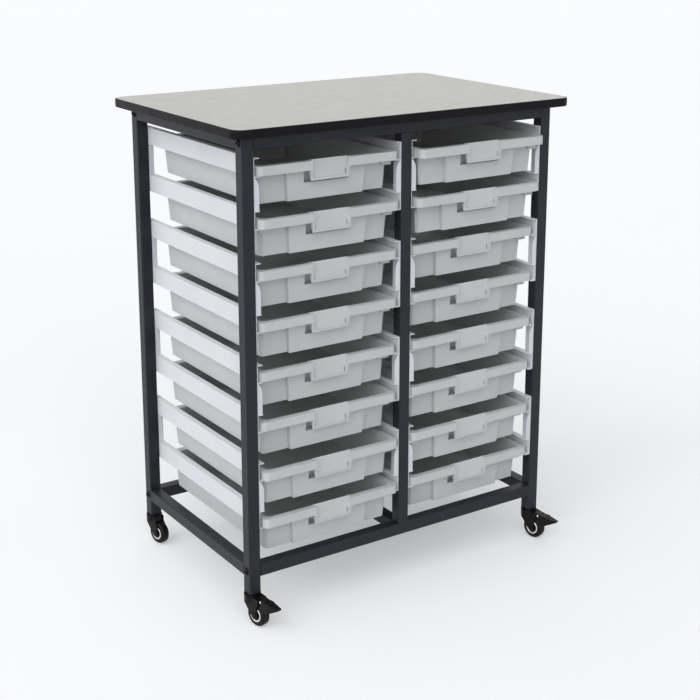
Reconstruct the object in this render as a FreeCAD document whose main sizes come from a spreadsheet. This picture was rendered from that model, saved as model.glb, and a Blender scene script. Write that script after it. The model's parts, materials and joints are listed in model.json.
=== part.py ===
import FreeCAD, Part
import math
import os
import re
import Sketcher
from FreeCAD import Placement, Rotation, Vector

# A wheeled classroom storage unit: a laminated top on a square-tube frame, two columns of
# eight sliding trays on sheet-metal runners, and four swivel castors.
#
# Frame of the document: millimetres, X to the right, Y towards the rear, Z up. The origin
# is on the floor, in the middle of the whole outline. The brake pedals reach out in front
# of the table top, so the frame itself sits a little behind the origin (MIDDLE below).

# ---------------------------------------------------------------------------------------
# Driving dimensions: name, size in millimetres (or degrees), and what it measures
# ---------------------------------------------------------------------------------------
TOP_WIDTH = 794
TOP_DEPTH = 527
TOP_THICKNESS = 17.5
SIDE_OVERHANG = 29.5
FRONT_OVERHANG = 32
TUBE = 25
LEG_LENGTH = 902.5
CASTOR_HEIGHT = 66
TRAY_HEIGHT = 75

# The frame follows the table top, and the runners and trays follow the frame.
BAY_WIDTH = (TOP_WIDTH - 2 * SIDE_OVERHANG - 3 * TUBE) / 2
FRAME_DEPTH = TOP_DEPTH - 2 * FRONT_OVERHANG
RUNNER_LENGTH = FRAME_DEPTH - 3
TRAY_DEPTH = FRAME_DEPTH - 36
RUNNER_TOP = LEG_LENGTH - 41.5
TRAY_PITCH = (LEG_LENGTH - 110.5) / 8

SIZES = [
    ("top_width", TOP_WIDTH, "table top, left to right"),
    ("top_depth", TOP_DEPTH, "table top, front to rear"),
    ("top_thickness", TOP_THICKNESS, "table top"),
    ("top_corner", 25, "corner radius of the table top in plan"),
    ("band_width", 3, "edge band, outwards from the panel"),
    ("band_round", 5, "rounding of the edge band's outer edges"),
    ("tube", TUBE, "side of the square tube"),
    ("tube_wall", 1.5, "wall of the square tube"),
    ("tube_corner", 2.5, "outer corner radius of the square tube"),
    ("bay_width", BAY_WIDTH, "clear width between the tubes of one tray column"),
    ("frame_depth", FRAME_DEPTH, "frame, front to rear"),
    ("leg_length", LEG_LENGTH, "corner legs"),
    ("bottom_rail_rise", 33, "leg end up to the underside of the bottom rails"),
    ("castor_height", CASTOR_HEIGHT, "floor up to the leg ends"),
    ("plug_gap", 0.15, "clearance each side of a plug in a tube"),
    ("plug_length", 20, "threaded plugs in the ends of the long rails"),
    ("bolt_radius", 3, "shank of the frame bolts"),
    ("bolt_head_radius", 6, "button head of the frame bolts"),
    ("bolt_head_height", 3, "button head of the frame bolts"),
    ("hole_gap", 0.2, "clearance round a bolt or screw in its hole"),
    ("screw_radius", 2.2, "shank of the table screws"),
    ("screw_head_radius", 4.5, "head of the table screws"),
    ("screw_head_height", 2.5, "head of the table screws"),
    ("screw_bite", 12, "length of a table screw inside the table top"),
    ("runner_top", RUNNER_TOP, "leg end up to the top of the highest runner"),
    ("runner_length", RUNNER_LENGTH, "runners, front to rear"),
    ("runner_sheet", 1.5, "sheet thickness of the runners"),
    ("runner_flange", 12.5, "width of a channel flange, from the tube"),
    ("channel_height", 36, "outer height of a runner channel"),
    ("end_plate", 11, "width of a runner's end plates, from the tube"),
    ("end_curve", 22, "height of the curved top corner of an end plate"),
    ("web_strip", 24, "width of the web left between the channels at each end"),
    ("stop_height", 11, "rear stops in the channels"),
    ("stop_gap", 0.5, "tray at home to the rear stop"),
    ("tray_pitch", TRAY_PITCH, "height from one tray to the next"),
    ("tray_depth", TRAY_DEPTH, "trays, front to rear over the rim"),
    ("tray_height", TRAY_HEIGHT, "trays, rim to underside"),
    ("tray_wall", 2.2, "wall of the trays"),
    ("tray_side_play", 5.5, "tray rim to the runner web, each side"),
    ("tray_lift", 0.3, "tray rim over the lower flange it slides on"),
    ("tray_home", 3, "tray front behind the runner front when pushed home"),
    ("rim_skirt", 17.5, "height of the rim"),
    ("rim_corner", 12, "corner radius of the rim in plan"),
    ("mouth_setback", 10.5, "rim to the front wall behind the skirt"),
    ("body_inset", 10.5, "rim to body at the sides"),
    ("body_inset_rear", 14, "rim to body at the rear"),
    ("body_corner", 8, "cut-off corners of the body in plan"),
    ("body_draft", 4.5, "slope of the body's walls, degrees"),
    ("panel_setback", 13.5, "rim to the middle panel of the front wall"),
    ("wall_setback", 23, "rim to the front wall beside the panel"),
    ("panel_width", 180, "middle panel of the front wall"),
    ("finger_width", 100, "finger recess behind the lip"),
    ("finger_back", 33, "rim to the back of the finger recess"),
    ("finger_drop", 49, "rim top to the bottom of the finger recess"),
    ("lip_width", 91, "handle lip at its top"),
    ("lip_taper", 3.5, "narrowing of the lip at each side"),
    ("lip_drop", 38, "rim top to the bottom of the lip"),
    ("lip_rise", 1, "lip over the rim top"),
    ("lip_thickness", 2.5, "handle lip at its bottom"),
    ("lip_lean", 4, "bottom of the lip behind its top"),
    ("lip_proud", 1, "top of the lip in front of the rim"),
    ("lip_bar", 5, "frame of the lip round its sloping label window"),
    ("window_depth", 1.2, "bottom of the label window behind the lip's front"),
    ("slot_width", 2.2, "slots at the lower corners of the label window"),
    ("slot_height", 10, "slots at the lower corners of the label window"),
    ("lug_inset", 8.5, "rim to the outer end of a corner lug, at each side"),
    ("lug_width", 21.5, "corner lugs, left to right"),
    ("lug_drop", 28, "rim top to the bottom of a corner lug"),
    ("lug_depth", 6, "corner lug in front of the wall"),
    ("castor_turn", 13, "direction of the castors from straight ahead, degrees"),
    ("castor_trail", 17, "swivel axis to the axle"),
    ("wheel_radius", 24, "castor wheels"),
    ("wheel_width", 18, "castor wheels"),
    ("tyre_thickness", 6, "tyre, from the hub to the tread"),
    ("tyre_bevel", 3, "bevel of the tread's edges"),
    ("tyre_gap", 0.1, "tyre to hub"),
    ("hub_dish", 2, "depth of the dished hub faces"),
    ("hub_wall", 3, "ring of a hub round its dished faces"),
    ("hub_boss", 7, "radius of the hub's boss round the axle"),
    ("axle_radius", 4, "castor axles"),
    ("axle_head_radius", 6, "heads of the castor axles"),
    ("axle_head", 1.5, "thickness of the axle heads"),
    ("running_gap", 0.1, "shafts in their holes"),
    ("cheek_gap", 1, "wheel to the fork cheeks"),
    ("cheek_thickness", 2.5, "fork cheeks"),
    ("cheek_boss", 8, "radius of a cheek round the axle"),
    ("head_radius", 17, "swivel head"),
    ("head_height", 13, "swivel head"),
    ("head_plate", 3.7, "top plate of the swivel head"),
    ("head_gap", 0.3, "swivel head to the socket cap"),
    ("cap_thickness", 2, "socket cap on a leg end"),
    ("socket_length", 30, "socket plug inside a leg"),
    ("stem_radius", 5, "king pin of a castor"),
    ("stem_head_radius", 8, "riveted end of the king pin"),
    ("stem_head", 2.5, "riveted end of the king pin"),
    ("pedal_reach", 77, "swivel axis to the tip of a brake pedal"),
    ("pedal_width", 18, "brake pedals"),
    ("pedal_tip_width", 9, "brake pedals at the tip"),
    ("pedal_taper_start", 52, "swivel axis to where a pedal starts to narrow"),
    ("pedal_tip", 3, "thickness of a pedal at the tip"),
    ("pedal_pivot_reach", 21, "swivel axis to the pedal pivot"),
    ("pedal_pivot_drop", 12, "leg end down to the pedal pivot"),
    ("pedal_pin_radius", 2, "pedal pivot pin"),
    ("brake_gap", 4, "tyre to the underside of a raised pedal"),
] + [
    (f"pull_{side}_{level}", pull, "how far this tray stands out of its home")
    for side, pulls in (
        ("left", (6.5, 11.5, 6, 7, 3, 6.5, 15, 13)),
        ("right", (26.5, 18.5, 0, 1, 3, 2, 4, 3)),
    )
    for level, pull in enumerate(pulls, 1)
]
NAMES = {name for name, size, note in SIZES}

doc = FreeCAD.newDocument("tray_storage_unit")
sheet = doc.addObject("Spreadsheet::Sheet", "Sizes")
for row, (name, size, note) in enumerate(SIZES, 1):
    sheet.set(f"A{row}", name)
    sheet.set(f"B{row}", str(size))
    sheet.set(f"C{row}", note)
    sheet.setAlias(f"B{row}", name)
doc.recompute()

# ---------------------------------------------------------------------------------------
# Places that several pieces share, worked out from the driving dimensions
# ---------------------------------------------------------------------------------------
LEG_X = "(bay_width + tube)"
LEG_Y = "((frame_depth - tube) / 2)"
PEDAL_FRONT = f"({LEG_Y} + pedal_reach * cos(castor_turn * 1 deg) + pedal_tip_width / 2 * sin(castor_turn * 1 deg))"
MIDDLE = f"(({PEDAL_FRONT} - top_depth / 2) / 2)"
FRAME_TOP = "(castor_height + leg_length)"
TOP_RAIL_Z = f"({FRAME_TOP} - tube / 2)"
BOTTOM_RAIL_Z = "(castor_height + bottom_rail_rise + tube / 2)"
BORE_HALF = "(tube / 2 - tube_wall)"
COLUMN_X = "((bay_width + tube) / 2)"
TRAY_HALF = "(bay_width / 2 - runner_sheet - tray_side_play)"
BODY_HALF = f"({TRAY_HALF} - body_inset)"
BODY_REAR = "(tray_depth - body_inset_rear)"
CHEEK_IN = "(wheel_width / 2 + cheek_gap)"
CHEEK_OUT = f"({CHEEK_IN} + cheek_thickness)"
AXLE_DROP = "(castor_height - wheel_radius)"
LEVELS = range(1, 9)
RUNNER_SETS = range(1, 5)


# ---------------------------------------------------------------------------------------
# Small tools for drawing in the document
# ---------------------------------------------------------------------------------------
def bound(formula):
    """The formula with each sheet name written as a reference to the sheet."""
    return re.sub(r"[a-z]\w*", lambda m: "Sizes." * (m.group() in NAMES) + m.group(), formula)


def new_body(label, x="0", y="0", z="0", turn=None):
    """A body at (x, y, z) in the frame's own axes, turned about Z if a turn is given."""
    body = doc.addObject("PartDesign::Body", label)
    body.Label = label
    body.Placement = Placement(Vector(), Rotation(Vector(0, 0, 1), 1 if turn else 0))
    body.setExpression("Placement.Base.x", bound(x))
    body.setExpression("Placement.Base.y", bound(f"{MIDDLE} + {y}"))
    body.setExpression("Placement.Base.z", bound(z))
    if turn:
        body.setExpression("Placement.Rotation.Angle", bound(turn))
    return body


def new_sketch(body, label, plane, shift=("0", "0", "0")):
    """A sketch on one of the body's own origin planes, shifted in the sketch's own axes."""
    drawing = body.newObject("Sketcher::SketchObject", f"{body.Label}_{label}")
    support = next(part for part in body.Origin.OriginFeatures if part.Role == plane)
    drawing.AttachmentSupport = [(support, "")]
    drawing.MapMode = "FlatFace"
    for axis, formula in zip("xyz", shift):
        if formula != "0":
            drawing.setExpression(f"AttachmentOffset.Base.{axis}", bound(formula))
    return drawing


def pin_point(drawing, edge, end, x, y):
    """Dimension one point of the sketch from its origin, both ways, by formula."""
    for kind, formula in (("DistanceX", x), ("DistanceY", y)):
        size = float(drawing.evalExpression(bound(formula)))
        number = drawing.addConstraint(Sketcher.Constraint(kind, -1, 1, edge, end, size))
        drawing.setExpression(f"Constraints[{number}]", bound(formula))


def pin_radius(drawing, edge, radius):
    size = float(drawing.evalExpression(bound(radius)))
    number = drawing.addConstraint(Sketcher.Constraint("Radius", edge, size))
    drawing.setExpression(f"Constraints[{number}]", bound(radius))


def draw_outline(drawing, corners):
    """Draw a closed outline. A corner is (x, y); with a third entry, the edge to the next
    corner is an arc of that radius, and a fourth entry of -1 puts its centre on the right
    of the way along instead of on the left."""
    here = [Vector(*(float(drawing.evalExpression(bound(f))) for f in c[:2])) for c in corners]
    ends = []
    for corner, first, last in zip(corners, here, here[1:] + here[:1]):
        if len(corner) == 2:
            ends.append((drawing.addGeometry(Part.LineSegment(first, last)), 1, 2))
            continue
        side = corner[3] if len(corner) > 3 else 1
        radius = float(drawing.evalExpression(bound(corner[2])))
        chord = last - first
        rise = math.sqrt(max(radius**2 - (chord.Length / 2) ** 2, 0))
        across = Vector(-chord.y, chord.x).normalize() * side
        centre = (first + last) / 2 + across * rise
        spokes = (first - centre, last - centre)[::side]
        angles = [math.atan2(spoke.y, spoke.x) for spoke in spokes]
        circle = Part.Circle(centre, Vector(0, 0, 1), radius)
        edge = drawing.addGeometry(Part.ArcOfCircle(circle, *angles))
        ends.append((edge, 1, 2) if side > 0 else (edge, 2, 1))
        pin_radius(drawing, edge, corner[2])
    for (edge, start, end), (following, begin, _), corner in zip(
        ends, ends[1:] + ends[:1], corners[1:] + corners[:1]
    ):
        drawing.addConstraint(Sketcher.Constraint("Coincident", edge, end, following, begin))
        pin_point(drawing, following, begin, *corner[:2])


def draw_circle(drawing, x, y, radius):
    edge = drawing.addGeometry(Part.Circle(Vector(), Vector(0, 0, 1), 1))
    pin_point(drawing, edge, 3, x, y)
    pin_radius(drawing, edge, radius)


def box_corners(left, right, low, high):
    return [(left, low), (right, low), (right, high), (left, high)]


def round_corners(left, right, low, high, radius):
    """Corners of a rectangle whose four corners are arcs of one radius."""
    return [
        (f"{left} + {radius}", low),
        (f"{right} - {radius}", low, radius),
        (right, f"{low} + {radius}"),
        (right, f"{high} - {radius}", radius),
        (f"{right} - {radius}", high),
        (f"{left} + {radius}", high, radius),
        (left, f"{high} - {radius}"),
        (left, f"{low} + {radius}", radius),
    ]


def cut_corners(left, right, low, high, leg):
    """Corners of a rectangle whose four corners are cut off straight."""
    return [
        (f"{left} + {leg}", low), (f"{right} - {leg}", low),
        (right, f"{low} + {leg}"), (right, f"{high} - {leg}"),
        (f"{right} - {leg}", high), (f"{left} + {leg}", high),
        (left, f"{high} - {leg}"), (left, f"{low} + {leg}"),
    ]


def add_pad(body, drawing, length, both_ways=False, backward=False):
    pad = body.newObject("PartDesign::Pad", f"{drawing.Label}_pad")
    pad.Profile = drawing
    pad.setExpression("Length", bound(length))
    pad.SideType = "Symmetric" if both_ways else "One side"
    pad.Reversed = backward
    drawing.Visibility = False
    return pad


def add_pocket(body, drawing, depth=None, both_ways=False, backward=False):
    """Cut a sketch through the body, or to a depth against the sketch plane's normal."""
    pocket = body.newObject("PartDesign::Pocket", f"{drawing.Label}_pocket")
    pocket.Profile = drawing
    pocket.SideType = "Symmetric" if both_ways else "One side"
    pocket.Reversed = backward
    if depth:
        pocket.setExpression("Length", bound(depth))
    else:
        pocket.Type = "ThroughAll"
    drawing.Visibility = False
    return pocket


def add_revolution(body, drawing, axis):
    turned = body.newObject("PartDesign::Revolution", f"{drawing.Label}_turned")
    turned.Profile = drawing
    turned.ReferenceAxis = (drawing, [axis])
    drawing.Visibility = False
    return turned


def add_loft(body, kind, name, first, last):
    """Straight walls from one sketch to another, as material or as a cut."""
    loft = body.newObject(f"PartDesign::{kind}", f"{body.Label}_{name}")
    loft.Profile = first
    loft.Sections = [last]
    loft.Ruled = True
    first.Visibility = last.Visibility = False


def add_group(label, bodies):
    """One node for several separate solids."""
    group = doc.addObject("Part::Compound", label)
    group.Label = label
    group.Links = bodies
    return group


# ---------------------------------------------------------------------------------------
# Table top
# ---------------------------------------------------------------------------------------
SCREW_PLACES = [
    (f"{side}{COLUMN_X}", f"{end}{LEG_Y}") for side in ("-", "") for end in ("-", "")
] + [(f"{side}{LEG_X}", "0") for side in ("-", "")]


def top_outline(inset):
    return round_corners(
        f"-top_width / 2 + {inset}",
        f"top_width / 2 - {inset}",
        f"-top_depth / 2 + {inset}",
        f"top_depth / 2 - {inset}",
        f"(top_corner - {inset})",
    )


def make_table_top():
    """Laminated panel, drilled underneath for the table screws."""
    body = new_body("table_top", z=FRAME_TOP)
    panel = new_sketch(body, "outline", "XY_Plane")
    draw_outline(panel, top_outline("band_width"))
    add_pad(body, panel, "top_thickness")
    holes = new_sketch(body, "screw_holes", "XY_Plane")
    for x, y in SCREW_PLACES:
        draw_circle(holes, x, y, "screw_radius + hole_gap")
    add_pocket(body, holes, "screw_bite + hole_gap", backward=True)
    return body


def make_edge_band():
    """Bullnosed plastic band pressed on all round the panel."""
    body = new_body("table_edge_band", z=FRAME_TOP)
    ring = new_sketch(body, "outline", "XY_Plane")
    draw_outline(ring, top_outline("0"))
    draw_outline(ring, top_outline("band_width"))
    band = add_pad(body, ring, "top_thickness")
    doc.recompute()
    half = float(ring.evalExpression(bound("top_width / 2 - band_width / 2")))
    deep = float(ring.evalExpression(bound("top_depth / 2 - band_width / 2")))
    tall = float(ring.evalExpression(bound("top_thickness")))
    reach = float(ring.evalExpression(bound("top_corner * 0.2")))
    outer = [
        f"Edge{number}"
        for number, edge in enumerate(band.Shape.Edges, 1)
        if edge.BoundBox.ZLength < tall / 2
        and (
            max(abs(edge.CenterOfMass.x) - half, abs(edge.CenterOfMass.y) - deep) > 0
            or (edge.BoundBox.XLength > reach and edge.BoundBox.YLength > reach and edge.Curve.Radius > reach * 5 - 1)
        )
    ]
    bullnose = body.newObject("PartDesign::Fillet", "table_edge_band_bullnose")
    bullnose.Base = (band, outer)
    bullnose.setExpression("Radius", bound("min(band_round; band_width * 0.9; top_thickness * 0.45)"))
    return body


# ---------------------------------------------------------------------------------------
# Frame
# ---------------------------------------------------------------------------------------
PLANES = {"X": "YZ_Plane", "Y": "XZ_Plane", "Z": "XY_Plane"}


def make_tube(label, axis, length, x, y, z):
    """Square tube of the given length, centred on (x, y, z) along one axis."""
    body = new_body(label, x, y, z)
    section = new_sketch(body, "section", PLANES[axis])
    draw_outline(section, round_corners("-tube / 2", "tube / 2", "-tube / 2", "tube / 2", "tube_corner"))
    draw_outline(section, box_corners(f"-{BORE_HALF}", BORE_HALF, f"-{BORE_HALF}", BORE_HALF))
    add_pad(body, section, length, both_ways=True)
    return body


def drill(body, label, plane, holes, radius):
    """Drill round holes right through a tube, given as (x, y) in the plane's own axes."""
    drawing = new_sketch(body, label, plane)
    for x, y in holes:
        draw_circle(drawing, x, y, radius)
    add_pocket(body, drawing, "2 * tube", both_ways=True)


def make_frame():
    """Side frames, centre frame and the long rails that join them."""
    leg_z = f"castor_height + leg_length / 2"
    long_rail = "2 * bay_width + tube"
    cross_rail = "frame_depth - 2 * tube"
    upright = f"leg_length - 2 * tube - bottom_rail_rise"
    upright_z = f"({BOTTOM_RAIL_Z} + {TOP_RAIL_Z}) / 2"
    tubes = []
    for end, end_sign in (("front", "-"), ("rear", "")):
        for side, side_sign in (("left", "-"), ("right", "")):
            leg = make_tube(f"leg_{end}_{side}", "Z", "leg_length", side_sign + LEG_X, end_sign + LEG_Y, leg_z)
            heights = [("0", f"{z} - ({leg_z})") for z in (TOP_RAIL_Z, BOTTOM_RAIL_Z)]
            drill(leg, "bolt_holes", "YZ_Plane", heights, "bolt_radius + hole_gap")
            tubes.append(leg)
        tubes.append(make_tube(f"upright_{end}", "Z", upright, "0", end_sign + LEG_Y, upright_z))
    for level, z in (("top", TOP_RAIL_Z), ("bottom", BOTTOM_RAIL_Z)):
        for end, end_sign in (("front", "-"), ("rear", "")):
            rail = make_tube(f"{level}_rail_{end}", "X", long_rail, "0", end_sign + LEG_Y, z)
            if level == "top":
                places = [("-" + COLUMN_X, "0"), (COLUMN_X, "0")]
                drill(rail, "screw_holes", "XY_Plane", places, "screw_radius + hole_gap")
            tubes.append(rail)
        for side, x in (("left", "-" + LEG_X), ("right", LEG_X), ("centre", "0")):
            rail = make_tube(f"{level}_rail_{side}", "Y", cross_rail, x, "0", z)
            if level == "top" and side != "centre":
                drill(rail, "screw_holes", "XY_Plane", [("0", "0")], "screw_radius + hole_gap")
            tubes.append(rail)
    return tubes


def make_headed_pin(label, place, radius, length, head_radius, head_height, along, facing):
    """A pin turned about an axis, its round head seated at the body's own origin. The
    head stands out against the way the pin runs."""
    body = new_body(label, *place)
    section = new_sketch(body, "section", PLANES[facing])
    shaft, head = (length, f"-({head_height})") if along > 0 else (f"-({length})", head_height)
    corners = [("0", head), (head_radius, head), (head_radius, "0")]
    corners += [(radius, "0"), (radius, shaft), ("0", shaft)]
    axis = "V_Axis"
    if facing == "Z":
        corners = [(z, x) for x, z in corners]
        axis = "H_Axis"
    draw_outline(section, corners)
    add_revolution(body, section, axis)
    return body


def make_fasteners():
    """Frame bolts with the plugs they screw into, and the screws that hold the top."""
    bolts, plugs, screws = [], [], []
    outer = f"({LEG_X} + tube / 2)"
    for side, sign, along in (("left", "-", 1), ("right", "", -1)):
        for end, end_sign in (("front", "-"), ("rear", "")):
            for level, z in (("top", TOP_RAIL_Z), ("bottom", BOTTOM_RAIL_Z)):
                name = f"{level}_{end}_{side}"
                place = (sign + outer, end_sign + LEG_Y, z)
                bolts.append(
                    make_headed_pin(
                        f"frame_bolt_{name}", place, "bolt_radius", "tube + plug_length - hole_gap",
                        "bolt_head_radius", "bolt_head_height", along, "Z",
                    )
                )
                seat = f"{sign}({LEG_X} - tube / 2 - plug_length / 2)"
                plug = new_body(f"rail_plug_{name}", seat, end_sign + LEG_Y, z)
                section = new_sketch(plug, "section", "YZ_Plane")
                half = f"({BORE_HALF} - plug_gap)"
                draw_outline(section, box_corners(f"-{half}", half, f"-{half}", half))
                draw_circle(section, "0", "0", "bolt_radius + running_gap")
                add_pad(plug, section, "plug_length", both_ways=True)
                plugs.append(plug)
    for number, (x, y) in enumerate(SCREW_PLACES, 1):
        place = (x, y, f"{FRAME_TOP} - tube")
        screws.append(
            make_headed_pin(
                f"table_screw_{number}", place, "screw_radius", "tube + screw_bite",
                "screw_head_radius", "screw_head_height", 1, "Y",
            )
        )
    return [
        add_group("frame_bolts", bolts),
        add_group("rail_plugs", plugs),
        add_group("table_screws", screws),
    ]


# ---------------------------------------------------------------------------------------
# Runners: each is one folded bracket with two channels, for two trays
# ---------------------------------------------------------------------------------------
def make_runner(label, x, level, hand):
    """A runner whose web lies on a tube's side. Its channels open to the right for hand
    "" and to the left for hand "-". Its origin is at the top, on the tube."""
    top = f"castor_height + runner_top - {2 * (level - 1)} * tray_pitch"
    body = new_body(label, x, "0", top)

    def channel(name, drop):
        section = new_sketch(body, name, "XZ_Plane")
        profile = [
            ("0", "0"), ("runner_flange", "0"),
            ("runner_flange", "-runner_sheet"), ("runner_sheet", "-runner_sheet"),
            ("runner_sheet", "runner_sheet - channel_height"),
            ("runner_flange", "runner_sheet - channel_height"),
            ("runner_flange", "-channel_height"), ("0", "-channel_height"),
        ]
        draw_outline(section, [(hand + x_, f"{z_} - {drop}") for x_, z_ in profile])
        add_pad(body, section, "runner_length", both_ways=True)

    channel("upper_channel", "0")
    for end, near, far in (
        ("front", "-runner_length / 2", "web_strip - runner_length / 2"),
        ("rear", "runner_length / 2 - web_strip", "runner_length / 2"),
    ):
        strip = new_sketch(body, f"{end}_strip", "YZ_Plane")
        draw_outline(strip, box_corners(near, far, "-tray_pitch", "-channel_height"))
        add_pad(body, strip, "runner_sheet", backward=hand == "-")
    channel("lower_channel", "tray_pitch")

    reach = "(end_plate - runner_sheet)"
    curve = f"((end_curve * end_curve + {reach} * {reach}) / (2 * {reach}))"
    for end, shift in (("front", "runner_length / 2 - runner_sheet"), ("rear", "-runner_length / 2")):
        plate = new_sketch(body, f"{end}_plate", "XZ_Plane", ("0", "0", shift))
        draw_outline(
            plate,
            [
                (hand + "0", "-tray_pitch"), (hand + "end_plate", "-tray_pitch"),
                (hand + "end_plate", "-channel_height - end_curve", curve, -1 if hand else 1),
                (hand + "runner_sheet", "-channel_height"), (hand + "0", "-channel_height"),
            ],
        )
        add_pad(body, plate, "runner_sheet")
    home = "(runner_length / 2 - tray_home - tray_depth - stop_gap)"
    for name, drop in (("upper_stop", "0"), ("lower_stop", "tray_pitch")):
        stop = new_sketch(body, name, "XZ_Plane", ("0", "0", home))
        floor = f"(runner_sheet - channel_height - {drop})"
        sides = box_corners("runner_sheet / 2", "runner_flange", f"{floor} - runner_sheet / 2", f"{floor} + stop_height")
        draw_outline(stop, [(hand + x_, z_) for x_, z_ in sides])
        add_pad(body, stop, "runner_sheet", backward=True)
    return body


def make_runners():
    runners = []
    for level in RUNNER_SETS:
        outer = f"({LEG_X} - tube / 2)"
        runners.append(make_runner(f"runner_left_{level}", f"-{outer}", level, ""))
        runners.append(make_runner(f"runner_right_{level}", outer, level, "-"))
        pair = [
            make_runner(f"runner_centre_{level}_on_left", "-tube / 2", level, "-"),
            make_runner(f"runner_centre_{level}_on_right", "tube / 2", level, ""),
        ]
        runners.append(add_group(f"runner_centre_{level}", pair))
    return runners


# ---------------------------------------------------------------------------------------
# Trays: thin moulded boxes that hang by their rims in the runner channels
# ---------------------------------------------------------------------------------------
def body_outline():
    """Plan of a tray's body below its rim, with the middle panel standing forward."""
    corner = "body_corner"
    return [
        ("-panel_width / 2", "wall_setback"), ("-panel_width / 2", "panel_setback"),
        ("panel_width / 2", "panel_setback"), ("panel_width / 2", "wall_setback"),
        (f"{BODY_HALF} - {corner}", "wall_setback"), (BODY_HALF, f"wall_setback + {corner}"),
        (BODY_HALF, f"{BODY_REAR} - {corner}"), (f"{BODY_HALF} - {corner}", BODY_REAR),
        (f"{corner} - {BODY_HALF}", BODY_REAR), (f"-{BODY_HALF}", f"{BODY_REAR} - {corner}"),
        (f"-{BODY_HALF}", f"wall_setback + {corner}"), (f"{corner} - {BODY_HALF}", "wall_setback"),
    ]


def faces_towards(item, wanted):
    """Names of an item's flat faces whose normals have a wanted Z part."""
    doc.recompute()
    faces = enumerate(item.Shape.Faces, 1)
    return [f"Face{number}" for number, face in faces if wanted(face.normalAt(0, 0).z)]


def make_tray_shell(body):
    """Open box with sloping walls of one thickness. The block is as wide as the mouth down
    to the skirt's edge and steps back below it; it is drafted and shelled."""
    mouth = new_sketch(body, "mouth", "XY_Plane")
    draw_outline(mouth, cut_corners(f"-{BODY_HALF}", BODY_HALF, "mouth_setback", BODY_REAR, "body_corner"))
    add_pad(body, mouth, "rim_skirt", backward=True)
    plan = new_sketch(body, "plan", "XY_Plane")
    draw_outline(plan, body_outline())
    block = add_pad(body, plan, "tray_height", backward=True)
    slope = body.newObject("PartDesign::Draft", f"{body.Label}_slope")
    slope.Base = (block, faces_towards(block, lambda z: abs(z) < 0.1))
    slope.NeutralPlane = plan.AttachmentSupport[0]
    slope.setExpression("Angle", bound("body_draft"))
    slope.Reversed = True
    shell = body.newObject("PartDesign::Thickness", f"{body.Label}_shell")
    shell.Base = (slope, faces_towards(slope, lambda z: z > 0.9))
    shell.setExpression("Value", bound("tray_wall"))
    shell.Join = "Intersection"
    shell.Reversed = True


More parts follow.
